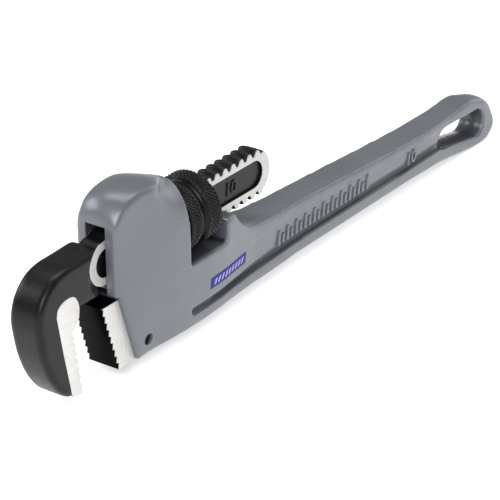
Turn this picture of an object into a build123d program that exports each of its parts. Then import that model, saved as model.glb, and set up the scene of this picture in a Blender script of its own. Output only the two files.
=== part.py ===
from build123d import *
import os
from math import atan2, degrees, hypot, pi, radians, tan

# Pipe wrench with a cast housing and handle, a sliding hook jaw and a knurled nut.
# Everything is drawn with x = 0 at the housing's front face, running towards the tail,
# z = 0 on the hook jaw's axis, and y = 0 on the wrench's mid-plane. At the end it is all
# moved so that the origin is at the middle of the underside of the box round the wrench.

# Housing and handle
handle_length = 209.5       # front face to the tail's end
underside = -33.5           # the long lower edge of the housing and handle
front_half_width = 7.0      # half the width of the front face
cheek_half_width = 9.6      # half the width beside the nut
handle_half_width = 5.5
hump_height = 19.2
slot_half_width = 3.5
slot_top = 10.8
slot_floor = -11.0
window_start = 30.2
window_end = 48.6
window_floor = -11.6
post_top = -4.4
post_length = 5.0
handle_top_start = 72.0     # where the scoop behind the post meets the handle
handle_top_height = -14.6
waist_x = 160.0
waist_top = -19.4
waist_bottom = -33.3
tail_radius = 9.4
tail_drop = 27.6            # the tail's centre below the jaw's axis
web_recess = 1.9
flange_height = 4.4
web_start = 66.0
web_end = 166.0
hole_big_radius = 4.6
hole_small_radius = 2.9
hole_length = 19.5          # between the centres of the hole's two ends

# Hook jaw
thread_pitch = 4.0
thread_radius = 8.25
thread_depth = 1.3
thread_crest = 1.6
thread_turns = 17
thread_running_gap = 0.25
ridge_inset = 1.4           # from the nut's faces to the middle of its thread's ends
shank_half_width = 3.2
shank_start = -8.2
shank_end = 78.2
neck_end = -4.0             # where the thick neck stops, short of the housing
neck_top = 6.8
neck_underside = -7.6
neck_relief = 0.6           # between the neck's hollow end and the shank's ground flat
pocket_depth = 0.9
pocket_rim = 3.8            # the ground rim above and below the pocket
pocket_end_rim = 3.4        # the same rim at the pocket's round ends
hook_half_width = 5.0
hook_bevel = 1.5
hook_shoulder_radius = 12.0
hook_back_radius = 22.0
pad_half_width = 5.5
jaw_opening = 12.2          # between the two toothed faces at the top of the mouth
hook_reach = 14.1           # from the toothed face to the hook's outer side
tooth_pitch = 2.6
tooth_depth = 0.8

# Nut
nut_radius = 11.0
nut_length = 13.7
nut_window_gap = 0.5        # from the window's front wall to the nut
nut_groove = 1.0
knurl_depth = 0.45
knurl_count = 40

# Heel jaw and its pin
heel_lean = 17.1            # degrees that the toothed face leans from upright
heel_depth = 7.5
heel_top = -11.7
heel_front = -5.2
heel_half_width = 5.5
seat_gap = 0.05
tang_depth = 9.6
tang_top = -23.0
tang_clearance = 0.1
pin_radius = 1.75
pin_fit = 0.03
pin_x = 12.9
pin_z = -28.2
pin_inset = 0.6             # how far the pin's ends lie below the housing's sides

# Springs
leaf_thickness = 0.7
leaf_width = 5.6
leaf_start = 2.0
leaf_end = 28.0
leaf_gap = 0.3
coil_x = 21.0
coil_radius = 1.9
coil_wire = 0.5
coil_turns = 6
pocket_radius = 2.7
pocket_bottom = -19.5
rivet_radius = 0.9
rivet_head = 0.5

# Label
label_length = 18.0
label_height = 3.0
label_thickness = 0.15
label_x = 52.0
label_z = -22.6

big = 400.0
lean = tan(radians(heel_lean))
thread_lean = degrees(atan2(thread_pitch, 2 * pi * thread_radius))


def in_side_plane(half_width):
    """The x-z plane pushed out to one side, for an outline seen from the side."""
    return Plane(origin=(0, half_width, 0), x_dir=(1, 0, 0), z_dir=(0, -1, 0))


def slab(outline, half_width):
    """A side outline made as thick as twice the half width."""
    face = in_side_plane(half_width) * make_face(outline)
    return extrude(face, amount=2 * half_width)


def polygon(points):
    return Polyline(*points, close=True)


def stadium(x_from, x_to, radius, half_width):
    """A long slot shape along x, centred on the axis, with round ends."""
    middle = (x_from + x_to) / 2
    straight = x_to - x_from - 2 * radius
    shape = SlotCenterToCenter(straight, 2 * radius)
    return extrude(in_side_plane(half_width) * Pos(middle, 0) * shape, amount=2 * half_width)


def block(x_from, x_to, y_half, z_from, z_to):
    size = (x_to - x_from, 2 * y_half, z_to - z_from)
    centre = ((x_from + x_to) / 2, 0, (z_from + z_to) / 2)
    return Pos(*centre) * Box(*size)


def heel_face_x(z):
    """Where the heel jaw's seat on the housing lies at a height."""
    return heel_front + heel_depth + (heel_top - z) * lean


# --- housing and handle -------------------------------------------------------------

tail_x = handle_length - tail_radius
front_floor = slot_floor + 0.7
window_middle = (window_start + window_end) / 2


def housing_outline():
    corner = (heel_face_x(underside), underside)
    tail = (tail_x, -tail_drop)
    low_side = (tail[0], tail[1] - tail_radius)
    top_side = (tail[0] - 2.0, tail[1] + tail_radius - 0.2)
    hump = Spline(
        (0, slot_top + 1.4),
        (4.4, hump_height - 1.1),
        (10.5, hump_height),
        (18.0, hump_height - 0.9),
        (25.0, hump_height - 3.3),
        (window_start, slot_top + 2.2),
        tangents=((0, 1), (0.8, -0.6)),
    )
    scoop = Spline(
        (window_end + post_length, post_top),
        (window_end + post_length + 4.5, post_top - 4.6),
        (handle_top_start, handle_top_height),
        tangents=((0.4, -1), (1, -0.12)),
    )
    waist = Spline(
        (handle_top_start, handle_top_height),
        (waist_x, waist_top),
        top_side,
        tangents=((1, -0.05), (1, 0.02)),
    )
    flare = Spline(
        low_side,
        (waist_x + 18, waist_bottom - 1.2),
        (waist_x - 20, underside),
        tangents=((-1, 0), (-1, 0)),
    )
    return [
        Line((0, front_floor), (0, slot_top + 1.4)),
        hump,
        Line((window_start, slot_top + 2.2), (window_start, window_floor)),
        Line((window_start, window_floor), (window_end, window_floor)),
        Line((window_end, window_floor), (window_end, post_top)),
        Line((window_end, post_top), (window_end + post_length, post_top)),
        scoop,
        waist,
        ThreePointArc(top_side, (tail[0] + tail_radius, tail[1]), low_side),
        flare,
        Line((waist_x - 20, underside), corner),
        Line(corner, (heel_face_x(front_floor), front_floor)),
        Line((heel_face_x(front_floor), front_floor), (0, front_floor)),
    ]


def plan_envelope():
    """The wrench's half widths seen from above: narrow front, wide cheeks, slim handle."""
    side = Spline(
        (-1, front_half_width),
        (window_start - 8, cheek_half_width - 0.5),
        (window_middle, cheek_half_width),
        (handle_top_start - 6, handle_half_width + 1.2),
        (handle_top_start + 18, handle_half_width),
        tangents=((1, 0.1), (1, 0)),
    )
    half = make_face([
        side,
        Line((handle_top_start + 18, handle_half_width), (big, handle_half_width)),
        Line((big, handle_half_width), (big, 0)),
        Line((big, 0), (-1, 0)),
        Line((-1, 0), (-1, front_half_width)),
    ])
    both = half + mirror(half, about=Plane.XZ)
    return extrude(Pos(0, 0, -60) * both, amount=120)


def end_envelope():
    """The housing's arch seen from the front."""
    arch = Spline(
        (front_half_width, underside),
        (cheek_half_width, window_floor - 4),
        (cheek_half_width, 0),
        (front_half_width + 0.6, slot_top),
        (front_half_width - 1.0, hump_height + 1),
        tangents=((0.3, 1), (-0.25, 1)),
    )
    half = make_face([
        arch,
        Line((front_half_width - 1.0, hump_height + 1), (0, hump_height + 1)),
        Line((0, hump_height + 1), (0, -60)),
        Line((0, -60), (front_half_width, -60)),
        Line((front_half_width, -60), (front_half_width, underside)),
    ])
    both = half + mirror(half, about=Plane.YZ)
    facing = Plane(origin=(-2, 0, 0), x_dir=(0, 1, 0), z_dir=(1, 0, 0))
    return extrude(facing * both, amount=big)


def hang_hole():
    """A hole that widens towards the tail, cut right through."""
    centre = (tail_x - 3.6, -tail_drop + 0.2)
    small = (centre[0] - hole_length, centre[1] + 1.6)
    run = hypot(hole_length, 1.6)
    turn = degrees(atan2(centre[1] - small[1], centre[0] - small[0]))
    spread = (hole_big_radius - hole_small_radius) / run
    square = (1 - spread ** 2) ** 0.5
    touch = [(run - hole_big_radius * spread, hole_big_radius * square),
             (-hole_small_radius * spread, hole_small_radius * square)]
    shape = make_face([
        ThreePointArc((touch[0][0], -touch[0][1]), (run + hole_big_radius, 0), touch[0]),
        Line(touch[0], touch[1]),
        ThreePointArc(touch[1], (-hole_small_radius, 0), (touch[1][0], -touch[1][1])),
        Line((touch[1][0], -touch[1][1]), (touch[0][0], -touch[0][1])),
    ])
    placed = Pos(small[0], small[1]) * Rot(0, 0, turn) * shape
    return extrude(in_side_plane(20) * placed, amount=40)


def web_outline():
    """The recessed panel between the handle's two flanges."""
    slope = (waist_top - handle_top_height) / (waist_x - handle_top_start)
    low = underside + flange_height
    start_x = web_start + 12
    start_top = (start_x, handle_top_height + slope * (start_x - handle_top_start) - flange_height)
    end_top = (web_end, waist_top - flange_height + 0.4)
    return [
        Line((web_start, low), (web_end, low)),
        ThreePointArc((web_end, low), (web_end + 2.4, (low + end_top[1]) / 2), end_top),
        Line(end_top, start_top),
        ThreePointArc(start_top, (web_start + 2, (low + start_top[1]) / 2 + 2), (web_start, low)),
    ]


def tang_outline(gap):
    """The heel jaw's tang, grown by a gap for the slot that holds it."""
    low = underside + 1.6
    return polygon([
        (heel_face_x(tang_top + gap) - 0.5, tang_top + gap),
        (heel_face_x(tang_top) + tang_depth + gap, tang_top + gap),
        (heel_face_x(low) + tang_depth - 4 + gap, low - gap),
        (heel_face_x(low - gap) - 0.5, low - gap),
    ])


def make_handle():
    body = slab(housing_outline(), 2 * cheek_half_width)
    body = body & plan_envelope() & end_envelope()
    for side in (-1, 1):
        panel = slab(web_outline(), web_recess)
        body -= Pos(0, side * handle_half_width, 0) * panel
    body -= hang_hole()
    body -= block(-2, handle_top_start + 8, slot_half_width, slot_floor, slot_top)
    body -= slab(tang_outline(tang_clearance), shank_half_width + tang_clearance)
    body -= Pos(pin_x, 0, pin_z) * Rot(90, 0, 0) * Cylinder(pin_radius + pin_fit, 40)
    pocket_height = slot_floor - pocket_bottom
    body -= Pos(coil_x, 0, slot_floor - pocket_height / 2) * Cylinder(pocket_radius, pocket_height)
    return body


# --- hook jaw -----------------------------------------------------------------------

def groove_half_width(radius):
    """Half the width of the thread's groove at a radius."""
    crest_half = (thread_pitch - thread_crest) / 2
    root_half = crest_half * 0.42
    slope = (crest_half - root_half) / thread_depth
    return root_half + slope * (radius - thread_radius + thread_depth)


def helical_bar(inner, outer, trim, length):
    """A right-hand bar with the groove's section, wound up the z axis, thinned by a trim."""
    path = Helix(pitch=thread_pitch, height=length, radius=thread_radius)
    facing = Plane(origin=path @ 0, x_dir=(1, 0, 0), z_dir=path % 0)
    low = groove_half_width(inner) - trim
    high = groove_half_width(outer) - trim
    section = facing * make_face(Polyline(
        (inner - thread_radius, -low),
        (outer - thread_radius, -high),
        (outer - thread_radius, high),
        (inner - thread_radius, low),
        close=True,
    ))
    return sweep(section, path=path, is_frenet=True)


def thread_cut(x, side):
    """One groove across the shank's upper (1) or lower (-1) edge, leaning with the thread."""
    root = thread_radius - thread_depth
    outer = thread_radius + 1.0
    low = groove_half_width(root)
    high = groove_half_width(outer)
    section = Plane.XZ * make_face(Polyline(
        (-low, root),
        (-high, outer),
        (high, outer),
        (low, root),
        close=True,
    ))
    ring = revolve(section, axis=Axis.X)
    upper = ring & (Pos(0, 0, side * 10) * Box(8, 2 * shank_half_width + 2, 20))
    return Pos(x, 0, 0) * Rot(0, 0, side * thread_lean) * upper


def along_x(shape, x_from):
    """Turn a shape made up the z axis so that it runs along x from a place."""
    return Pos(x_from, 0, 0) * Rot(0, 90, 0) * shape


def thread_place():
    """A whole number of pitches ahead of the nut, so that thread and nut are in step."""
    return window_start + nut_window_gap + ridge_inset - 4 * thread_pitch


def toothed(points_from, points_to, count, depth):
    """A saw-toothed edge between two points, with its teeth cut to the left."""
    run = (points_to[0] - points_from[0], points_to[1] - points_from[1])
    length = hypot(*run)
    across = (-run[1] / length, run[0] / length)
    edge = []
    for tooth in range(count):
        share = tooth / count
        tip = (points_from[0] + run[0] * share, points_from[1] + run[1] * share)
        edge.append(tip)
        share = (tooth + 0.75) / count
        root = (points_from[0] + run[0] * share + across[0] * depth,
                points_from[1] + run[1] * share + across[1] * depth)
        edge.append(root)
    edge.append(points_to)
    return edge


hook_face = heel_front - jaw_opening
hook_tip = (hook_face + 3.1, underside + 0.3)
hook_face_top = (hook_face, heel_top - 0.7)


def hook_outline():
    outer = hook_face_top[0] - hook_reach
    return [
        FilletPolyline(
            (neck_end, neck_top),
            (outer - 0.9, neck_top),
            (outer + 1.3, -19.0),
            (hook_tip[0] - 4.6, underside + 0.5),
            radius=[hook_shoulder_radius, hook_back_radius],
        ),
        Line((hook_tip[0] - 4.6, underside + 0.5), hook_tip),
        Line(hook_tip, hook_face_top),
        Line(hook_face_top, (hook_face_top[0] + 2.6, -9.6)),
        Line((hook_face_top[0] + 2.6, -9.6), (hook_face_top[0] + 2.6, neck_underside)),
        Line((hook_face_top[0] + 2.6, neck_underside), (neck_end, neck_underside)),
        Line((neck_end, neck_underside), (neck_end, neck_top)),
    ]


def hook_teeth():
    count = round((hook_face_top[1] - hook_tip[1]) / tooth_pitch)
    return toothed(hook_tip, hook_face_top, count, tooth_depth)


def pad_outline():
    """The ground pad that carries the hook's teeth."""
    top = (hook_face_top[0] - 1.0, -2.2)
    teeth = hook_teeth()
    return [
        Polyline(*teeth),
        Line(teeth[-1], (hook_face_top[0] + 2.6, -9.6)),
        Line((hook_face_top[0] + 2.6, -9.6), (hook_face_top[0] + 2.8, -6.4)),
        ThreePointArc((hook_face_top[0] + 2.8, -6.4), top, (hook_face_top[0] - 6.8, -5.0)),
        Line((hook_face_top[0] - 6.8, -5.0), (hook_tip[0] - 4.8, hook_tip[1] + 0.4)),
        Line((hook_tip[0] - 4.8, hook_tip[1] + 0.4), hook_tip),
    ]


def make_hook_jaw():
    shank = stadium(shank_start, shank_end, thread_radius, shank_half_width)
    shank &= along_x(Cylinder(thread_radius, 200, align=(Align.CENTER, Align.CENTER, Align.MIN)), -60)
    for step in range(thread_turns):
        for half in (0, 1):
            shank -= thread_cut(thread_place() + (step + half / 2) * thread_pitch, 2 * half - 1)
    pocket_from = shank_start + pocket_end_rim
    pocket_to = shank_end - pocket_end_rim
    pocket = stadium(pocket_from, pocket_to, thread_radius - pocket_rim, pocket_depth)
    for side in (-1, 1):
        shank -= Pos(0, side * shank_half_width, 0) * pocket
    hook = slab(hook_outline(), hook_half_width)
    flat_side = hook.edges().filter_by(lambda edge: abs(abs(edge.center().Y) - hook_half_width) < 0.01)
    outside = flat_side.filter_by(lambda edge: edge.center().X < hook_face_top[0] - 5 or edge.center().Z > 6)
    rim = outside.filter_by(lambda edge: edge.length > 8)
    hook = chamfer(rim, hook_bevel)
    relief = stadium(shank_start - neck_relief, shank_end, thread_radius + neck_relief, 20)
    for side in (-1, 1):
        hook -= relief & (Pos(0, side * (shank_half_width + 10), 0) * Box(big, 20, 60))
    pad = slab(pad_outline(), pad_half_width)
    teeth_outline = polygon([
        *hook_teeth(),
        (hook_face_top[0] + 2.6, hook_face_top[1]),
        (hook_tip[0] + 4, hook_tip[1]),
    ])
    gullets = slab(teeth_outline, 20)
    return shank + (hook - gullets) + pad


# --- nut ----------------------------------------------------------------------------

nut_from = window_start + nut_window_gap
nut_to = nut_from + nut_length


def make_nut():
    at_start = (Align.CENTER, Align.CENTER, Align.MIN)
    bore = thread_radius + thread_running_gap
    ring_length = (nut_length - nut_groove) / 2
    ring = Cylinder(nut_radius, ring_length, align=at_start)
    ring = chamfer(ring.edges().filter_by(GeomType.CIRCLE), knurl_depth)
    notch_radius = pi * nut_radius / knurl_count * 0.42
    notch = Pos(nut_radius + notch_radius - knurl_depth, 0, -1) * Cylinder(notch_radius, 40, align=at_start)
    for step in range(knurl_count):
        ring -= Rot(0, 0, 360 * step / knurl_count) * notch
    core = Cylinder(nut_radius - 1.1, nut_length, align=at_start)
    core -= Cylinder(bore, nut_length, align=at_start)
    tip = thread_radius - thread_depth + thread_running_gap
    ridge = helical_bar(tip, bore + 0.4, thread_running_gap, nut_length - 2 * ridge_inset)
    core += Pos(0, 0, ridge_inset) * ridge
    ring -= Cylinder(nut_radius - 1.5, ring_length, align=at_start)
    body = core + ring + Pos(0, 0, nut_length - ring_length) * ring
    return along_x(body, nut_from)


# --- heel jaw and pin ---------------------------------------------------------------

def make_heel_jaw():
    top = (heel_front, heel_top)
    low = (heel_front + (heel_top - underside) * lean, underside)
    count = round(hypot(low[0] - top[0], low[1] - top[1]) / tooth_pitch)
    teeth = toothed(top, low, count, tooth_depth)
    outline = polygon([
        *teeth,
        (heel_face_x(underside) - seat_gap, underside),
        (heel_face_x(heel_top) - seat_gap, heel_top),
    ])
    jaw = slab(outline, heel_half_width)
    jaw += slab(tang_outline(0), shank_half_width)
    jaw -= Pos(pin_x, 0, pin_z) * Rot(90, 0, 0) * Cylinder(pin_radius + pin_fit, 40)
    return jaw


def make_heel_pin():
    return Pos(pin_x, 0, pin_z) * Rot(90, 0, 0) * Cylinder(pin_radius, 2 * (front_half_width - pin_inset))


# --- springs ------------------------------------------------------------------------

leaf_top = -thread_radius - leaf_gap
leaf_under = leaf_top - leaf_thickness


def make_flat_spring():
    leaf = block(leaf_start, leaf_end, leaf_width / 2, leaf_under, leaf_top)
    leaf = fillet(leaf.edges().filter_by(Axis.Z), 1.2)
    return leaf - Pos(coil_x, 0, leaf_top) * Cylinder(rivet_radius, 4)


def make_spring_rivet():
    at_top = (Align.CENTER, Align.CENTER, Align.MAX)
    shaft = Pos(coil_x, 0, leaf_top) * Cylinder(rivet_radius, leaf_thickness, align=at_top)
    head = Pos(coil_x, 0, leaf_under) * Cylinder(rivet_radius + 0.3, rivet_head, align=at_top)
    return shaft + head


def make_coil_spring():
    height = leaf_under - pocket_bottom - coil_wire - 0.1
    path = Helix(pitch=height / coil_turns, height=height, radius=coil_radius)
    facing = Plane(origin=path @ 0, x_dir=(1, 0, 0), z_dir=path % 0)
    wire = sweep(facing * Circle(coil_wire / 2), path=path, is_frenet=True)
    return Pos(coil_x, 0, pocket_bottom + coil_wire / 2 + 0.05) * wire


# --- label --------------------------------------------------------------------------

def make_label():
    sheet = Box(label_length, label_thickness, label_height)
    return fillet(sheet.edges().filter_by(Axis.Y), 0.3)


def make_label_seat(body):
    """Lay the label on the housing's near side, just proud of the casting."""
    probe = Pos(label_x, -big / 2, label_z) * Box(label_length, big, label_height)
    touch = (body & probe).bounding_box()
    return Pos(label_x, touch.min.Y - label_thickness / 2, label_z) * make_label()


handle = make_handle()
pieces = {
    "handle": handle,
    "hook_jaw": make_hook_jaw(),
    "adjusting_nut": make_nut(),
    "heel_jaw": make_heel_jaw(),
    "heel_jaw_pin": make_heel_pin(),
    "flat_spring": make_flat_spring(),
    "coil_spring": make_coil_spring(),
    "spring_rivet": make_spring_rivet(),
    "label": make_label_seat(handle),
}

boxes = [shape.bounding_box() for shape in pieces.values()]
middle_x = (min(box.min.X for box in boxes) + max(box.max.X for box in boxes)) / 2
lowest = min(box.min.Z for box in boxes)
shift = Pos(-middle_x, 0, -lowest)

os.makedirs("parts", exist_ok=True)
for name, shape in pieces.items():
    placed = shift * shape
    placed.label = name
    export_step(placed, f"parts/{name}.step")

print("moved by", round(-middle_x, 3), 0, round(-lowest, 3))
print("nut from", round(nut_from - middle_x, 3), "to", round(nut_to - middle_x, 3))
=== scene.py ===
import bpy
import math
import numpy as np
from mathutils import Euler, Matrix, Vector


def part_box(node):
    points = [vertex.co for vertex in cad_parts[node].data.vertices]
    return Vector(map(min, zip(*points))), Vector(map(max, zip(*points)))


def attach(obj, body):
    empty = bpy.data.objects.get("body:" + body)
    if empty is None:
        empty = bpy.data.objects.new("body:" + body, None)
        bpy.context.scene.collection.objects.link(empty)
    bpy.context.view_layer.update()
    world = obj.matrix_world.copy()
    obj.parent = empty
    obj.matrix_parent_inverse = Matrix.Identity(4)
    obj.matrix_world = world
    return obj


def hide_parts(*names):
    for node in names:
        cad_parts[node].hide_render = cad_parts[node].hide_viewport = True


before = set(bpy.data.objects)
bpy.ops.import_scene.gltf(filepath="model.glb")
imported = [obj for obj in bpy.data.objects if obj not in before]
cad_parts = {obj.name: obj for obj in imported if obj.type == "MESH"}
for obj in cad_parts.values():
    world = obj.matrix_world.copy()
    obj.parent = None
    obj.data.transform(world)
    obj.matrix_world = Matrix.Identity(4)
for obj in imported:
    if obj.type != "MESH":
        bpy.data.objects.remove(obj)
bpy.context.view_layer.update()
print("frame loaded")

# Pieces are drawn in millimetres with x from the housing's front face, z from the jaw's axis
# and y from the middle of the wrench, then settled into the frame.
nutLow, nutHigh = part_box("adjusting_nut")
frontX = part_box("handle")[0].x
axisZ = (nutLow.z + nutHigh.z) / 2
millimetre = 0.001


def pickOnly(piece):
    if bpy.context.object and bpy.context.object.mode != "OBJECT":
        bpy.ops.object.mode_set(mode="OBJECT")
    bpy.ops.object.select_all(action="DESELECT")
    if piece:
        piece.select_set(True)
        bpy.context.view_layer.objects.active = piece


def applied(piece, kind, **settings):
    # adds a modifier and applies it at once
    pickOnly(piece)
    modifier = piece.modifiers.new(kind.title(), kind)
    for key, value in settings.items():
        setattr(modifier, key, value)
    bpy.ops.object.modifier_apply(modifier=modifier.name)


def cut(piece, cutter, operation="DIFFERENCE"):
    applied(piece, "BOOLEAN", object=cutter, operation=operation, solver="MANIFOLD")
    bpy.data.objects.remove(cutter)


def remeshed(piece, size, passes):
    applied(piece, "REMESH", mode="VOXEL", voxel_size=size)
    if passes:
        applied(piece, "SMOOTH", factor=0.5, iterations=passes)


def pointsOf(piece):
    flat = np.empty(len(piece.data.vertices) * 3)
    piece.data.vertices.foreach_get("co", flat)
    return flat.reshape(-1, 3)


def setPoints(piece, points):
    piece.data.vertices.foreach_set("co", np.asarray(points, float).ravel())
    piece.data.update()


def smoothStep(value):
    t = np.clip(value, 0, 1)
    return t * t * (3 - 2 * t)


def throughPoints(points, steps=6):
    # a smooth line through all the points
    ends = [points[0], *points, points[-1]]
    line = []
    for a, b, c, d in zip(ends, ends[1:], ends[2:], ends[3:]):
        for step in range(steps):
            t = step / steps
            line.append(tuple(
                b[i] + 0.5 * t * ((c[i] - a[i]) + t * (2 * a[i] - 5 * b[i] + 4 * c[i] - d[i])
                                  + t * t * (3 * b[i] - a[i] - 3 * c[i] + d[i]))
                for i in (0, 1)))
    return line + [tuple(points[-1])]


def arc(x, z, radius, start, end, steps):
    # points along a circle seen from the side, angles in degrees
    angles = [math.radians(start + (end - start) * k / steps) for k in range(steps + 1)]
    return [(x + radius * math.cos(a), z + radius * math.sin(a)) for a in angles]


def outward(piece, mergeBelow=None):
    # turns all faces outwards, after any doubles are merged
    pickOnly(piece)
    bpy.ops.object.mode_set(mode="EDIT")
    bpy.ops.mesh.select_all(action="SELECT")
    if mergeBelow:
        bpy.ops.mesh.remove_doubles(threshold=mergeBelow)
    bpy.ops.mesh.normals_make_consistent(inside=False)
    bpy.ops.object.mode_set(mode="OBJECT")


def sideSolid(name, outline, yFrom, yTo):
    # a filled circle with one corner for each outline point, pulled to the outline, then extruded
    pickOnly(None)
    bpy.ops.mesh.primitive_circle_add(vertices=len(outline), radius=1, fill_type="NGON")
    piece = bpy.context.object
    piece.name = name
    setPoints(piece, [(x, yFrom, z) for x, z in outline])
    bpy.ops.object.mode_set(mode="EDIT")
    bpy.ops.mesh.select_all(action="SELECT")
    bpy.ops.mesh.extrude_region_move(TRANSFORM_OT_translate={"value": (0, yTo - yFrom, 0)})
    outward(piece)
    return piece


def boxSolid(xFrom, xTo, yFrom, yTo, zFrom, zTo):
    return sideSolid("box", [(xFrom, zFrom), (xTo, zFrom), (xTo, zTo), (xFrom, zTo)], yFrom, yTo)


def drill(x, z, radius, yFrom, yTo, sides=48):
    return sideSolid("drill", arc(x, z, radius, 0, 360 - 360 / sides, sides - 1), yFrom, yTo)


def settle(piece, body, nodes, material, smoothAngle=None):
    # into metres and the frame's place, with its finish, body and the CAD nodes that it stands for
    pickOnly(piece)
    piece.scale = (millimetre,) * 3
    piece.location = (frontX, 0, axisZ)
    bpy.ops.object.transform_apply(location=True, rotation=True, scale=True)
    if smoothAngle:
        bpy.ops.object.shade_smooth_by_angle(angle=math.radians(smoothAngle))
    else:
        bpy.ops.object.shade_smooth()
    piece.data.materials.clear()
    piece.data.materials.append(material)
    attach(piece, body)
    if nodes:
        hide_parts(*nodes)
    print(piece.name, len(piece.data.polygons), "faces")
    return piece


# Materials

def node(tree, kind, settings=None, **inputs):
    # an input is named by its socket, or by i and its number
    made = tree.nodes.new(kind)
    for key, value in (settings or {}).items():
        setattr(made, key, value)
    for key, value in inputs.items():
        byNumber = key[0] == "i" and key[1:].isdigit()
        socket = made.inputs[int(key[1:]) if byNumber else key.replace("_", " ")]
        if isinstance(value, bpy.types.NodeSocket):
            tree.links.new(value, socket)
        else:
            socket.default_value = value
    return made


def maths(tree, operation, *values):
    inputs = {f"i{k}": v for k, v in enumerate(values)}
    return node(tree, "ShaderNodeMath", {"operation": operation}, **inputs).outputs[0]


def rampBetween(tree, value, low, high, outLow=0.0, outHigh=1.0):
    return node(tree, "ShaderNodeMapRange", {"clamp": True}, Value=value, From_Min=low, From_Max=high,
                To_Min=outLow, To_Max=outHigh).outputs[0]


def noiseOf(tree, place, scale, detail=3.0, rough=0.5):
    return node(tree, "ShaderNodeTexNoise", None, Vector=place, Scale=scale, Detail=detail, Roughness=rough).outputs[0]


def blendColours(tree, factor, *colours):
    first, second = [c if isinstance(c, bpy.types.NodeSocket) else (*c, 1) for c in colours]
    return node(tree, "ShaderNodeMix", {"data_type": "RGBA"}, i0=factor, i6=first, i7=second).outputs[2]


def newMaterial(name, coat=0.0, coatRoughness=0.1):
    material = bpy.data.materials.new(name)
    material.use_nodes = True
    tree = material.node_tree
    shader = tree.nodes["Principled BSDF"]
    shader.inputs["Coat Weight"].default_value = coat
    shader.inputs["Coat Roughness"].default_value = coatRoughness
    place = tree.nodes.new("ShaderNodeTexCoord").outputs["Object"]
    return material, tree, shader, place


def bumped(tree, shader, height, distance, strength=1.0):
    bump = node(tree, "ShaderNodeBump", None, Height=height, Distance=distance, Strength=strength)
    tree.links.new(bump.outputs[0], shader.inputs["Normal"])


paint = {
    # shaded is the colour of painted shade, and ledgeShade sets how strongly the painted shade above the ledge is laid
    # on
    "light": (0.150, 0.160, 0.183), "dark": (0.130, 0.139, 0.161), "shaded": (0.016, 0.018, 0.024),
    "roughness": (0.32, 0.42), "coat": 0.32, "coatRoughness": 0.22, "metallic": 0.15,
    "ledgeShade": 0.85, "peel": 0.10, "bump": 0.00016,
    # painted shade inside the slot and the nut's window: middle (x, z), reach in x, y and z, and strength
    "paintedShadeSpots": [((24.5, -0.1), (24.0, 3.7, 11.1), 0.97), ((39.4, -10.2), (9.1, 8.6, 1.6), 0.95)],
}


def makePaint():
    # grey semi-gloss paint over cast aluminium: slow colour drift, faint orange peel, soft waves, and painted shade
    # above the ledge, in the hang hole, the slot and the nut's window
    material, tree, shader, place = newMaterial("greyPaint", paint["coat"], paint["coatRoughness"])
    drift = noiseOf(tree, place, 38.0, 3.0)
    colour = blendColours(tree, rampBetween(tree, drift, 0.3, 0.7), paint["dark"], paint["light"])
    # painted shade stored on the casting: the groove right above the ledge and the hang hole's walls
    shadeMap = node(tree, "ShaderNodeAttribute", {"attribute_name": "shade"}).outputs["Fac"]
    shade = maths(tree, "MULTIPLY", shadeMap, paint["ledgeShade"])
    axes = node(tree, "ShaderNodeSeparateXYZ", None, Vector=place)
    # painted shade: the paint turns to the shaded colour inside the slot and the nut's window, where shade falls
    for (x, z), reach, inside in paint["paintedShadeSpots"]:
        middle = (frontX + x * millimetre, 0, axisZ + z * millimetre)
        for axis, centre, size in zip("XYZ", middle, reach):
            offset = maths(tree, "ABSOLUTE", maths(tree, "SUBTRACT", axes.outputs[axis], centre))
            edge = rampBetween(tree, offset, (size + 0.2) * millimetre, (size - 0.4) * millimetre)
            inside = maths(tree, "MULTIPLY", edge, inside)
        shade = maths(tree, "MAXIMUM", shade, inside)
    tree.links.new(blendColours(tree, shade, colour, paint["shaded"]), shader.inputs["Base Color"])
    peel = noiseOf(tree, place, 1300.0, 2.0)
    waves = noiseOf(tree, place, 110.0, 2.0)
    tree.links.new(rampBetween(tree, noiseOf(tree, place, 240.0, 4.0), 0.3, 0.7, *paint["roughness"]),
                   shader.inputs["Roughness"])
    height = maths(tree, "ADD", maths(tree, "MULTIPLY", peel, paint["peel"]), waves)
    bumped(tree, shader, height, paint["bump"])
    shader.inputs["Metallic"].default_value = paint["metallic"]
    return material


steel = {
    "black": (0.0030, 0.0030, 0.0036), "blackWorn": (0.0070, 0.0070, 0.0078), "blackRoughness": (0.28, 0.44),
    "ground": (0.93, 0.92, 0.90), "groundDark": (0.78, 0.765, 0.74), "groundRoughness": (0.34, 0.52),
    "groundMetallic": 0.5, "groundEdge": 0.00008, "coat": 0.04, "coatRoughness": 0.15, "specular": 0.24, "bump": 0.00006,
}


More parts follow.
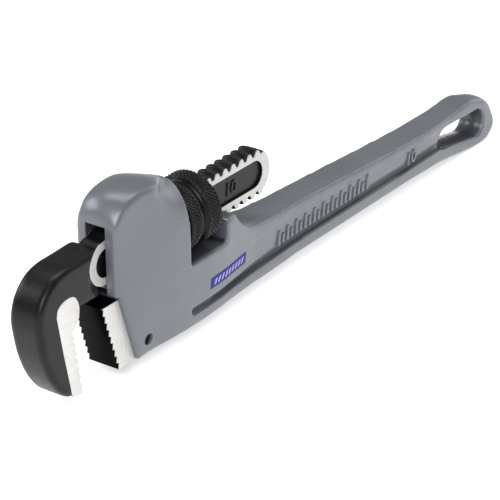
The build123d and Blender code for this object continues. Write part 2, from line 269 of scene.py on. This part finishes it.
def makeForging(name, groundFrom=None, stroke=(1.0, 1.0, 14.0), bright=1.0, dark=1.0):
    # black forged steel, ground bright where its sides lie further than groundFrom from the middle
    material, tree, shader, place = newMaterial(name, steel["coat"], steel["coatRoughness"])
    shader.inputs["Specular IOR Level"].default_value = steel["specular"] * dark
    mottle = noiseOf(tree, place, 170.0, 5.0, 0.6)
    pits = noiseOf(tree, place, 1500.0, 3.0, 0.6)
    colour = blendColours(tree, rampBetween(tree, mottle, 0.35, 0.75),
                          *[[dark * c for c in steel[k]] for k in ("black", "blackWorn")])
    roughness = rampBetween(tree, pits, 0.3, 0.7, *steel["blackRoughness"])
    height = maths(tree, "ADD", maths(tree, "MULTIPLY", pits, 0.5), mottle)
    if groundFrom:
        y = maths(tree, "ABSOLUTE", node(tree, "ShaderNodeSeparateXYZ", None, Vector=place).outputs["Y"])
        edge = steel["groundEdge"]
        ragged = maths(tree, "MULTIPLY_ADD", noiseOf(tree, place, 900.0, 2.0), 0.0001, -0.00005)
        y = maths(tree, "ADD", y, ragged)
        mask = rampBetween(tree, y, groundFrom * millimetre - edge, groundFrom * millimetre + edge)
        stretched = node(tree, "ShaderNodeMapping", None, Vector=place, Scale=stroke)
        lines = noiseOf(tree, stretched.outputs[0], 260.0, 4.0, 0.65)
        ground = blendColours(tree, rampBetween(tree, lines, 0.35, 0.65),
                              *[[bright * c for c in steel[k]] for k in ("groundDark", "ground")])
        colour = blendColours(tree, mask, colour, ground)
        tree.links.new(maths(tree, "MULTIPLY", mask, steel["groundMetallic"]), shader.inputs["Metallic"])
        shine = rampBetween(tree, lines, 0.3, 0.7, *steel["groundRoughness"])
        mixed = node(tree, "ShaderNodeMix", {"data_type": "FLOAT"}, i0=mask, i2=roughness, i3=shine)
        roughness = mixed.outputs[0]
        height = maths(tree, "ADD", height, maths(tree, "MULTIPLY", maths(tree, "MULTIPLY", lines, mask), 1.6))
    tree.links.new(colour, shader.inputs["Base Color"])
    tree.links.new(roughness, shader.inputs["Roughness"])
    bumped(tree, shader, height, steel["bump"])
    return material


oxide = {"dark": (0.004, 0.004, 0.0045), "rubbed": (0.12, 0.12, 0.125), "roughness": (0.28, 0.44), "metallic": 0.5}


def makeKnurled():
    # black oxide, rubbed brighter on the points of the knurl
    material, tree, shader, place = newMaterial("blackOxide", 0.08, 0.25)
    shader.inputs["Specular IOR Level"].default_value = 0.35
    raised = node(tree, "ShaderNodeAttribute", {"attribute_name": "knurl"}).outputs["Fac"]
    patch = noiseOf(tree, place, 420.0, 4.0, 0.6)
    rubbed = maths(tree, "MULTIPLY", rampBetween(tree, raised, 0.45, 1.0), rampBetween(tree, patch, 0.35, 0.7))
    tree.links.new(blendColours(tree, rubbed, oxide["dark"], oxide["rubbed"]), shader.inputs["Base Color"])
    tree.links.new(rampBetween(tree, patch, 0.3, 0.7, *oxide["roughness"]), shader.inputs["Roughness"])
    bumped(tree, shader, noiseOf(tree, place, 2500.0, 2.0), 0.00003)
    shader.inputs["Metallic"].default_value = oxide["metallic"]
    return material


def makeBright(name, light, dark, roughness):
    # plain drawn steel for the springs, the rivet and the pin
    material, tree, shader, place = newMaterial(name)
    stretched = node(tree, "ShaderNodeMapping", None, Vector=place, Scale=(1.0, 9.0, 9.0)).outputs[0]
    drawn = noiseOf(tree, stretched, 420.0, 4.0)
    tree.links.new(blendColours(tree, rampBetween(tree, drawn, 0.3, 0.7), dark, light), shader.inputs["Base Color"])
    tree.links.new(rampBetween(tree, drawn, 0.3, 0.7, roughness - 0.08, roughness + 0.08), shader.inputs["Roughness"])
    bumped(tree, shader, drawn, 0.00003)
    shader.inputs["Metallic"].default_value = 1.0
    return material


greyPaint = makePaint()
hookBlack = makeForging("forgedBlack")
print("finishes made")

# Casting: housing, cheeks and handle in one

casting = {
    "blankHalf": 11.0,
    "hump": [(0, 12.2), (0.9, 15.0), (4.4, 18.1), (10.5, 19.2), (18, 18.5), (25, 16.6), (30.2, 14.3), (33, 12.0),
             (38, 5.0), (43, -1.5), (47.5, -4.3), (53.2, -4.4)],
    "handleTop": [(54.0, -4.8), (56.2, -7.6), (59.0, -10.2), (62.5, -12.5), (67, -14.0), (72, -14.6), (79, -15.2),
                  (95, -15.9), (106, -16.5), (128, -17.8), (145, -18.8), (163, -19.6), (176, -19.5), (188, -18.9),
                  (194, -18.8), (198.2, -19.4)],
    "tailEnd": [(198.2, -19.4), (201.6, -20.6), (204.7, -22.8), (207.2, -25.9), (208.8, -29.4), (208.8, -32.2),
                (207.2, -34.7), (203.8, -36.5), (199.2, -37.0)],
    "tailMiddle": (200.1, -27.8),
    "belly": [(199.2, -37.0), (190, -36.3), (179, -34.8), (166, -33.8), (150, -33.5)],
    "planX": [0, 8, 16, 24, 30, 40, 48, 56, 66, 78, 90, 150, 180, 215],
    "planHalf": [7.0, 7.9, 8.9, 9.9, 10.3, 10.3, 9.8, 8.6, 7.1, 6.0, 5.5, 5.5, 5.0, 4.7],
    "taperZ": [-34, -28, -20, -10, 2, 8, 13, 18],
    "taper": [0.74, 0.84, 0.94, 1.0, 1.0, 0.97, 0.92, 0.86],
    "crownX": [0, 2, 4, 8, 13, 18, 24, 30],
    "crown": [3.4, 3.1, 2.5, 1.8, 1.2, 0.8, 0.6, 0.0],
    "archTop": 14.9, "archStart": -2.0, "archHalf": 10.4, "archPower": 2.0,
    "dish": 0.7, "lift": 0.3, "tailRound": 1.8,
    "hole": ((176.4, -26.4, 2.5), (196.2, -28.3, 4.1)), "flare": 1.0,
    "seat": [(-5, -10.3), (1.9, -10.3), (9.0, -33.5), (10.0, -36.7), (-5, -36.7)],
    "ledgeX": 31.5, "ledgeZ": -29.4, "ledgeDepth": 1.7, "ledgeCorner": 2.4, "ledgeFade": 3.4,
    "webAt": [60, 77, 102, 128, 148, 186], "webTop": [-18.0, -18.3, -19.2, -20.7, -21.4, -22.4],
}
topLine = throughPoints(casting["hump"]) + throughPoints(casting["handleTop"])
topX, topZ = np.array(topLine).T


def castingHalf(x, z):
    # half the casting's width at a place seen from the side
    plan = np.interp(x, casting["planX"], casting["planHalf"])
    taper = np.interp(z, casting["taperZ"], casting["taper"])
    side = plan * (1 - (1 - taper) * smoothStep(x / 18) * (1 - smoothStep((x - 50) / 32)))
    rise = np.clip((z - casting["archStart"]) / (casting["archTop"] - casting["archStart"]), 0, 0.995)
    power = casting["archPower"]
    arch = casting["archHalf"] * (1 - rise ** power) ** (1 / power)
    share = smoothStep((x - 16) / 14.2)
    return side * (1 - share) + np.minimum(side, arch) * share


def ledgeDepth(x, z):
    # how far the web lies below the lower flange: soft above, sharp at the ledge and its front end
    corner = casting["ledgeCorner"]
    along = x - casting["ledgeX"]
    above = z - casting["ledgeZ"]
    rounded = corner - np.hypot(np.maximum(corner - along, 0), np.maximum(corner - above, 0))
    inside = np.where((along < corner) & (above < corner), rounded, np.minimum(along, above))
    lower = smoothStep(inside / 0.8)
    soft = (1 - smoothStep((above - 0.7) / casting["ledgeFade"])) * (1 - smoothStep((x - 172) / 8))
    below = np.interp(x, casting["webAt"], casting["webTop"]) - z
    slope = 0.4 + 0.7 * np.clip(below / 9, 0, 1)
    web = slope * smoothStep((x - 50) / 36) * smoothStep(below / 0.7) * (1 - smoothStep((x - 182) / 8))
    return lower * (casting["ledgeDepth"] * soft + web * (1 - soft))


def ledgeShade(x, z):
    # painted shade: the paint is darkest right above the ledge, where shade falls in the corner between web and flange
    above = z - casting["ledgeZ"]
    band = smoothStep((above + 0.1) / 0.5) * (1 - smoothStep((above - 0.7) / 1.5))
    return band * smoothStep((x - casting["ledgeX"]) / 22) * (1 - smoothStep((x - 168) / 10))


def surfaceHalf(x, z):
    return castingHalf(x, z) - ledgeDepth(x, z)


def makeCasting():
    x, z = casting["tailMiddle"]
    outline = topLine + throughPoints(casting["tailEnd"])[1:] + throughPoints(casting["belly"], 4)[1:]
    outline += [(60, -33.5), (0, -33.5), (0, -10)]
    piece = sideSolid("castHandle", outline, -casting["blankHalf"], casting["blankHalf"])
    remeshed(piece, 0.8, 0)
    p = pointsOf(piece)
    half = castingHalf(p[:, 0], p[:, 2])
    share = p[:, 1] / casting["blankHalf"]
    top = np.interp(p[:, 0], topX, topZ)
    near = smoothStep((p[:, 2] - top + 7) / 7)
    crown = np.interp(p[:, 0], casting["crownX"], casting["crown"]) * share ** 2
    dish = casting["dish"] * (1 - share ** 2) * smoothStep((p[:, 0] - 58) / 8) * (1 - smoothStep((p[:, 0] - 176) / 14))
    dish -= casting["lift"] * share ** 4 * smoothStep((p[:, 0] - 60) / 10) * (1 - smoothStep((p[:, 0] - 190) / 6))
    out = np.column_stack([np.maximum(p[:, 0] - x, 0), p[:, 2] - z])
    away = np.maximum(np.hypot(*out.T), 0.1)
    pull = casting["tailRound"] * share ** 2 * smoothStep((p[:, 0] - 192) / 8) * smoothStep((away - 4) / 5.4)
    pull *= smoothStep((out[:, 1] + 6) / 8) / away
    setPoints(piece, np.column_stack([p[:, 0] - pull * out[:, 0], share * half,
                                      p[:, 2] - near * (crown + dish) - pull * out[:, 1]]))
    remeshed(piece, 0.7, 3)
    cut(piece, sideSolid("seat", casting["seat"], -20, 20))
    window = [(30.2, 40), (30.2, -11.6)] + arc(46.9, -9.9, 1.7, -90, 0, 8) + [(48.6, 40)]
    cut(piece, sideSolid("window", window, -20, 20))
    left, right = casting["hole"]
    hole = arc(*right, 84, -82, 20) + arc(*left, -98, -262, 16)
    cut(piece, sideSolid("hole", hole, -20, 20))
    remeshed(piece, 0.5, 6)
    cut(piece, boxSolid(-3, 80, -3.5, 3.5, -11.0, 10.8))
    cut(piece, sideSolid("tang", [(0, -22.9), (15.5, -22.9), (14.2, -32.1), (0, -32.1)], -3.3, 3.3))
    cut(piece, drill(12.9, -28.2, 1.8, -20, 20))
    p = pointsOf(piece)
    depth = ledgeDepth(p[:, 0], p[:, 2]) * smoothStep((np.abs(p[:, 1]) / castingHalf(p[:, 0], p[:, 2]) - 0.8) / 0.12)
    # the hanging hole opens wider towards both sides
    along = np.clip((p[:, 0] - left[0]) / (right[0] - left[0]), 0, 1)
    centre = np.column_stack([left[k] + along * (right[k] - left[k]) for k in (0, 1, 2)])
    out = p[:, ::2] - centre[:, :2]
    away = np.maximum(np.hypot(*out.T), 0.1)
    flare = casting["flare"] * smoothStep((np.abs(p[:, 1]) - 0.4) / 4) * (1 - smoothStep((away - centre[:, 2]) / 2.5))
    out *= (flare / away)[:, None]
    setPoints(piece, np.column_stack([p[:, 0] + out[:, 0], p[:, 1] - np.sign(p[:, 1]) * depth, p[:, 2] + out[:, 1]]))
    # painted shade on the hang hole's walls, kept with the painted shade above the ledge in the shade attribute
    inHole = (1 - smoothStep((away - centre[:, 2] - 0.3) / 0.4)) * (1 - smoothStep((np.abs(p[:, 1]) - 3.4) / 0.8)) * 0.8
    shade = piece.data.attributes.new("shade", "FLOAT", "POINT")
    shade.data.foreach_set("value", np.maximum(ledgeShade(p[:, 0], p[:, 2]), inHole).astype(np.float32))
    return settle(piece, "housing", ["handle"], greyPaint, 34)


makeCasting()

# Hook jaw: forged hook, ground and toothed pad, threaded shank

hook = {
    "half": 5.5, "bevel": 3.6,
    "back": [(-15, 6.4), (-19.5, 6.2), (-24.0, 4.9), (-27.6, 2.2), (-30.2, -1.6), (-31.3, -6.5), (-30.7, -12),
             (-29.2, -18.5), (-26.4, -25.2), (-22.6, -30.6), (-19.2, -33.1)],
    "toe": [(-16.6, -33.0), (-15.5, -31), (-16.4, -20)], "throat": [(-14.9, -9.8), (-14.8, -7.6), (-3.7, -7.6)],
    "tip": (-14.3, -33.2), "faceTop": (-17.4, -12.4),
    "relief": 7.0, "reliefSlope": 1.2,
    "padHalf": 5.7, "padRound": [(-14.9, -5.0), (-16.2, -2.9), (-18.4, -2.1), (-21.2, -2.4), (-23.4, -3.7), (-24.1, -6.0)],
    "padBack": [(-22.0, -18), (-19.2, -32.0), (-18.4, -32.9)],
}
tooth = {"pitch": 2.6, "depth": 0.85}


def toothed(start, end, side):
    # a saw-toothed line between two points, its gullets on one side
    run = np.subtract(end, start)
    length = math.hypot(*run)
    across = np.array((-run[1], run[0])) / length * side * tooth["depth"]
    count = round(length / tooth["pitch"])
    line = []
    for k in range(count):
        line.append(tuple(start + run * k / count))
        line.append(tuple(start + run * (k + 0.78) / count + across))
    return line + [tuple(end)]


def makeHook():
    outline = [(-3.7, 6.8)] + throughPoints(hook["back"], 5)[:-1] + hook["toe"] + [hook["faceTop"]] + hook["throat"]
    piece = sideSolid("hookForging", outline, -hook["half"], hook["half"])
    applied(piece, "BEVEL", width=hook["bevel"], segments=3, limit_method="ANGLE", angle_limit=math.radians(60))
    remeshed(piece, 0.36, 10)
    # a cone hollows each side round the shank's bright front rim
    inner, outer = 3.0, 9.0
    grown = 1 + (outer - inner) * hook["reliefSlope"] / hook["relief"]
    for side in (-1, 1):
        hollow = drill(0.05, 0, hook["relief"], *sorted((side * inner, side * outer)), sides=96)
        p = pointsOf(hollow)
        wider = np.where(np.abs(p[:, 1]) > (inner + outer) / 2, grown, 1)
        setPoints(hollow, np.column_stack([p[:, 0] * wider, p[:, 1], p[:, 2] * wider]))
        cut(piece, hollow)
    return settle(piece, "hook", ["hook_jaw"], hookBlack, 40)


def makePad():
    faceTop, tip = hook["faceTop"], hook["tip"]
    outline = toothed(tip, faceTop, 1) + [(-14.9, -9.9), (-14.5, -7.0)]
    outline += throughPoints(hook["padRound"], 5) + hook["padBack"]
    piece = sideSolid("hookPad", outline, -hook["padHalf"], hook["padHalf"])
    applied(piece, "BEVEL", width=0.22, segments=2, limit_method="ANGLE", angle_limit=math.radians(30))
    return settle(piece, "hook", ["hook_jaw"], makeForging("padSteel", 5.5, bright=0.86), 30)


shank = {
    "half": 3.2, "radius": 8.25, "start": -6.85, "end": 78.6, "neckRadius": 6.8,
    "pitch": 4.0, "depth": 1.5, "phase": 18.1,
    "pocketRadius": 4.35, "pocketDepth": 0.9, "startRim": 2.95, "endRim": 3.9, "drop": 0.4,
}


def stadiumLine(start, end, radius, steps=24):
    return arc(end - radius, 0, radius, 90, -90, steps) + arc(start + radius, 0, radius, 270, 90, steps)


def makeShank():
    radius, pitch = shank["radius"], shank["pitch"]
    outline = stadiumLine(shank["start"], shank["end"], radius, 40)
    piece = sideSolid("threadedShank", outline, -shank["half"], shank["half"])
    remeshed(piece, 0.34, 0)
    p = pointsOf(piece)
    # the thread: a wavy groove that winds round the axis, cut into whatever stands above it
    angle = np.arctan2(p[:, 2], p[:, 1])
    groove = (p[:, 0] - shank["phase"] - pitch * (angle - math.pi / 2) / (2 * math.pi)) / pitch
    away = np.abs(groove - np.round(groove)) * pitch
    start = smoothStep((p[:, 0] - 14.0) / 2.0)
    allowed = radius - shank["depth"] * start * (1 - smoothStep((away - 0.42) / 0.95))
    height = np.sqrt(np.maximum(allowed ** 2 - p[:, 1] ** 2, 1))
    neck = shank["neckRadius"]
    rounded = np.sqrt(np.maximum(neck ** 2 - np.minimum(p[:, 0], 0) ** 2, 0.01))
    rounded += (radius - neck) * smoothStep(p[:, 0] / 3.5)
    height = np.minimum(height, rounded)
    lowered = np.sign(p[:, 2]) * np.minimum(height, np.abs(p[:, 2]))
    # the top sinks a little towards the rear
    lowered -= shank["drop"] * smoothStep((p[:, 0] - 20) / 20) * smoothStep(p[:, 2] / 5)
    setPoints(piece, np.column_stack([p[:, 0], p[:, 1], lowered]))
    remeshed(piece, 0.34, 2)
    inner = stadiumLine(shank["start"] + shank["startRim"], shank["end"] - shank["endRim"], shank["pocketRadius"])
    for side in (-1, 1):
        cut(piece, sideSolid("pocket", inner, *sorted((side * (shank["half"] - shank["pocketDepth"]), side * 9))))
    return settle(piece, "hook", ["hook_jaw"], makeForging("shankSteel", 3.02, bright=0.7), 35)


makeHook()
makePad()
makeShank()

# Adjusting nut

nut = {
    "start": 30.7, "length": 13.7, "radius": 10.8, "bore": 8.5, "first": 4.9, "groove": 3.0,
    "knurls": 52, "depth": 0.5, "slope": 1.32, "samples": 6,
    # the waist between the two knurled rings: distance past the first ring, depth
    "waist": [(-0.2, 0.4), (0.1, 0.9), (0.5, 1.15), (1.0, 1.1), (1.6, 1.2), (2.1, 1.4), (2.5, 1.55), (2.8, 1.3),
              (3.05, 0.8), (3.25, 0.4)],
}


def nutProfile():
    # (distance along the nut, radius, share of the knurl's depth), one closed loop
    length, radius = nut["length"], nut["radius"]
    first, second = nut["first"], length - nut["first"] - nut["groove"]
    rows = [(0.0, nut["bore"] + 0.5, 0), (0.0, radius - 0.75, 0), (0.25, radius - 0.35, 0.3)]
    for start, ring in ((0.0, first), (first + nut["groove"], second)):
        steps = round(ring * 4.5)
        for k in range(steps + 1):
            at = 0.45 + (ring - 0.9) * k / steps
            rows.append((start + at, radius, min(1, 4 * k / steps, 4 * (steps - k) / steps) * 0.5 + 0.5))
        if start == 0.0:
            rows += [(first + at, radius - low, 0) for at, low in nut["waist"]]
    rows += [(length - 0.25, radius - 0.35, 0.3), (length, radius - 0.75, 0), (length, nut["bore"] + 0.5, 0),
             (length - 0.5, nut["bore"], 0), (0.5, nut["bore"], 0), rows[0]]
    return np.array(rows)


def makeNut():
    rows = nutProfile()
    around = nut["knurls"] * nut["samples"]
    pickOnly(None)
    bpy.ops.mesh.primitive_grid_add(x_subdivisions=around, y_subdivisions=len(rows) - 1, size=2)
    piece = bpy.context.object
    piece.name = "knurledNut"
    p = pointsOf(piece)
    turn = np.round((p[:, 0] + 1) / 2 * around) / around
    row = np.round((p[:, 1] + 1) / 2 * (len(rows) - 1)).astype(int)
    along, radius, share = rows[row].T
    count = nut["knurls"]
    ways = [np.abs((turn * count + sign * along / nut["slope"]) % 1 - 0.5) * 2 for sign in (-1, 1)]
    ridge = np.minimum(*ways)
    radius = radius - nut["depth"] * share * (1 - np.minimum(ridge * 1.35, 1))
    angle = 2 * math.pi * turn
    setPoints(piece, np.column_stack([nut["start"] + along, radius * np.cos(angle), radius * np.sin(angle)]))
    raised = piece.data.attributes.new("knurl", "FLOAT", "POINT")
    raised.data.foreach_set("value", (ridge * share).astype(np.float32))
    outward(piece, 0.001)
    return settle(piece, "nut", ["adjusting_nut"], makeKnurled(), 50)


makeNut()

# Heel jaw

heel = {
    "top": (-5.2, -11.7), "bottom": (1.506, -33.5), "depth": 7.45, "half": 5.5,
    "tang": [(4.0, -23.0), (15.4, -23.0), (14.1, -31.9), (6.0, -31.9)], "tangHalf": 3.2,
}


def makeHeel():
    top, bottom = heel["top"], heel["bottom"]
    outline = toothed(bottom, top, -1) + [(top[0] + heel["depth"], top[1]), (bottom[0] + heel["depth"], bottom[1])]
    piece = sideSolid("heelJaw", outline, -heel["half"], heel["half"])
    applied(piece, "BEVEL", width=0.22, segments=2, limit_method="ANGLE", angle_limit=math.radians(30))
    cut(piece, sideSolid("tang", heel["tang"], -heel["tangHalf"], heel["tangHalf"]), "UNION")
    cut(piece, drill(12.9, -28.2, 1.8, -20, 20))
    heelSteel = makeForging("heelSteel", 5.3, (14.0, 1.0, 1.0), 0.8, 0.2)
    return settle(piece, "housing", ["heel_jaw"], heelSteel, 30)


makeHeel()

# Label and raised marks on the handle's near side

label = {
    "x": (40.0, 59.8), "z": (-23.3, -19.7), "proud": 0.1, "thickness": 0.4,
    "blue": (0.006, 0.002, 0.20), "pale": (0.36, 0.36, 0.68), "worn": (0.3, 0.3, 0.5),
    "barStep": 1.9, "barShare": 0.52, "barLean": 0.35, "barHalf": 0.95, "barsFrom": 1.2, "barsTo": 18.4,
}


def makeLabelInk():
    # blue with slanted pale bars, as on any printed sticker
    material, tree, shader, place = newMaterial("blueLabel")
    shader.inputs["Specular IOR Level"].default_value = 0.2
    axes = node(tree, "ShaderNodeSeparateXYZ", None, Vector=place)
    x = maths(tree, "SUBTRACT", axes.outputs["X"], frontX + label["x"][0] * millimetre)
    z = maths(tree, "SUBTRACT", axes.outputs["Z"], axisZ + sum(label["z"]) / 2 * millimetre)
    slanted = maths(tree, "MULTIPLY_ADD", z, -label["barLean"], x)
    bars = maths(tree, "FRACT", maths(tree, "MULTIPLY", slanted, 1 / (label["barStep"] * millimetre)))
    inBar = maths(tree, "LESS_THAN", bars, label["barShare"])
    inRow = maths(tree, "LESS_THAN", maths(tree, "ABSOLUTE", z), label["barHalf"] * millimetre)
    ends = maths(tree, "MULTIPLY", maths(tree, "GREATER_THAN", x, label["barsFrom"] * millimetre),
                 maths(tree, "LESS_THAN", x, label["barsTo"] * millimetre))
    ink = maths(tree, "MULTIPLY", maths(tree, "MULTIPLY", inBar, inRow), ends)
    colour = blendColours(tree, ink, label["blue"], label["pale"])
    grain = noiseOf(tree, place, 900.0, 3.0)
    tree.links.new(blendColours(tree, maths(tree, "MULTIPLY", grain, 0.04), colour, label["worn"]),
                   shader.inputs["Base Color"])
    tree.links.new(rampBetween(tree, grain, 0.3, 0.7, 0.42, 0.52), shader.inputs["Roughness"])
    return material


def makeLabel():
    pickOnly(None)
    bpy.ops.mesh.primitive_grid_add(x_subdivisions=48, y_subdivisions=8, size=2)
    piece = bpy.context.object
    piece.name = "blueLabel"
    p = pointsOf(piece)
    x = np.interp(p[:, 0], (-1, 1), label["x"])
    z = np.interp(p[:, 1], (-1, 1), label["z"])
    setPoints(piece, np.column_stack([x, -surfaceHalf(x, z) - label["proud"], z]))
    applied(piece, "SOLIDIFY", thickness=label["thickness"], offset=-1)
    outward(piece)
    return settle(piece, "housing", ["label"], makeLabelInk(), 40)


marks = {
    "start": 79.0, "end": 128.0, "step": 2.45, "low": -26.4, "tall": 4.8, "short": 3.2, "width": 1.1, "lean": 0.12,
    "proud": 0.55,
}


def makeMarks():
    # a plain raised scale: tall and short bars that lean a little
    bars = []
    low = marks["low"]
    count = round((marks["end"] - marks["start"]) / marks["step"])
    for k in range(count + 1):
        x = marks["start"] + k * marks["step"]
        tall = marks["tall"] if k % 2 == 0 else marks["short"]
        lean = marks["lean"] * tall
        far = x + marks["width"]
        outline = [(x, low), (far, low), (far + lean, low + tall), (x + lean, low + tall)]
        surface = -float(surfaceHalf(np.array(x), np.array(low + tall / 2)))
        bar = sideSolid("bar", outline, surface - marks["proud"], surface + 1.0)
        applied(bar, "BEVEL", width=0.16, segments=2, limit_method="ANGLE", angle_limit=math.radians(30))
        bars.append(bar)
    pickOnly(bars[0])
    for bar in bars:
        bar.select_set(True)
    bpy.ops.object.join()
    bars[0].name = "scaleMarks"
    return settle(bars[0], "housing", None, greyPaint, 40)


def raisedNumber(name, x, z, y, height, proud, body, material, deep=1.0):
    # stands proud of a near surface at y, and reaches deep below it
    pickOnly(None)
    bpy.ops.object.text_add()
    piece = bpy.context.object
    piece.name = name
    piece.data.body = "10"
    piece.data.size = height * 1.38
    piece.data.extrude = (proud + deep) / 2
    piece.data.bevel_depth = 0.08
    piece.data.bevel_resolution = 1
    piece.data.resolution_u = 4
    piece.data.shear = 0.12
    bpy.ops.object.convert(target="MESH")
    piece = bpy.context.object
    piece.rotation_euler = Euler((math.radians(90), 0, 0))
    piece.location = (x, y - proud + (proud + deep) / 2, z)
    bpy.ops.object.transform_apply(location=True, rotation=True, scale=True)
    return settle(piece, body, None, material, 40)


makeLabel()
makeMarks()
handleSurface = -float(surfaceHalf(np.array(156.0), np.array(-25.0)))
raisedNumber("handleNumber", 151.6, -27.2, handleSurface, 4.3, 0.5, "housing", greyPaint)
pocketFloor = -(shank["half"] - shank["pocketDepth"])
raisedNumber("shankNumber", 56.5, -2.2, pocketFloor, 4.2, 0.25, "hook", hookBlack, 0.4)

# CAD nodes that stay, with better finishes
springSteel = makeBright("springSteel", (0.42, 0.41, 0.40), (0.25, 0.245, 0.24), 0.34)
# painted shade: the pin's steel is nearly black so its face reads as the shade down in the pin hole
shadedPinSteel = makeBright("shadedPinSteel", (0.03, 0.03, 0.03), (0.015, 0.015, 0.016), 0.5)
for name, material in (("flat_spring", springSteel), ("coil_spring", springSteel), ("spring_rivet", springSteel),
                       ("heel_jaw_pin", shadedPinSteel)):
    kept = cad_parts[name]
    kept.data.materials.clear()
    kept.data.materials.append(material)
print("pieces made")

# Floor, light and camera

studio = {
    "glow": 0.48, "world": 0.28, "target": (0, 0, 0.03),
    # name, place, size, power
    "lights": [("keyLight", (-0.85, -0.45, 0.65), (0.7, 0.5), 7.5), ("topLight", (0.2, 0.1, 0.95), (0.9, 0.3), 4.0),
               ("rimLight", (-0.35, 0.65, 0.45), (0.5, 0.3), 2.4), ("tailLight", (0.85, -0.2, 0.38), (0.7, 0.6), 2.0)],
}
view = {"place": (-0.56296, -0.39612, 0.34574), "turn": (63.584, 0.553, -54.3235), "lens": 180, "sensor": 36}


def makeFloor():
    pickOnly(None)
    bpy.ops.mesh.primitive_plane_add(size=12)
    floor = bpy.context.object
    floor.name = "floor"
    material, tree, shader, place = newMaterial("floorPale")
    grain = noiseOf(tree, place, 3.0, 2.0)
    tree.links.new(blendColours(tree, grain, (0.92, 0.92, 0.92), (0.94, 0.94, 0.94)), shader.inputs["Base Color"])
    shader.inputs["Roughness"].default_value = 0.9
    shader.inputs["Specular IOR Level"].default_value = 0.1
    shader.inputs["Emission Color"].default_value = (1, 1, 1, 1)
    shader.inputs["Emission Strength"].default_value = studio["glow"]
    floor.data.materials.append(material)


def softbox(name, place, size, power):
    data = bpy.data.lights.new(name, "AREA")
    data.shape = "RECTANGLE"
    data.size, data.size_y = size
    data.energy = power
    light = bpy.data.objects.new(name, data)
    bpy.context.scene.collection.objects.link(light)
    light.location = place
    light.rotation_euler = (Vector(studio["target"]) - Vector(place)).to_track_quat("-Z", "Y").to_euler()


makeFloor()
for light in studio["lights"]:
    softbox(*light)
world = bpy.data.worlds.new("studio")
bpy.context.scene.world = world
world.use_nodes = True
sky = world.node_tree.nodes["Background"]
sky.inputs["Color"].default_value = (1, 1, 1, 1)
sky.inputs["Strength"].default_value = studio["world"]
bpy.context.scene.view_settings.view_transform = "Standard"

cameraData = bpy.data.cameras.new("camera")
cameraData.lens = view["lens"]
cameraData.sensor_width = view["sensor"]
camera = bpy.data.objects.new("camera", cameraData)
bpy.context.scene.collection.objects.link(camera)
camera.location = view["place"]
camera.rotation_euler = Euler([math.radians(angle) for angle in view["turn"]])
bpy.context.scene.camera = camera
print("stage, lights and camera made")
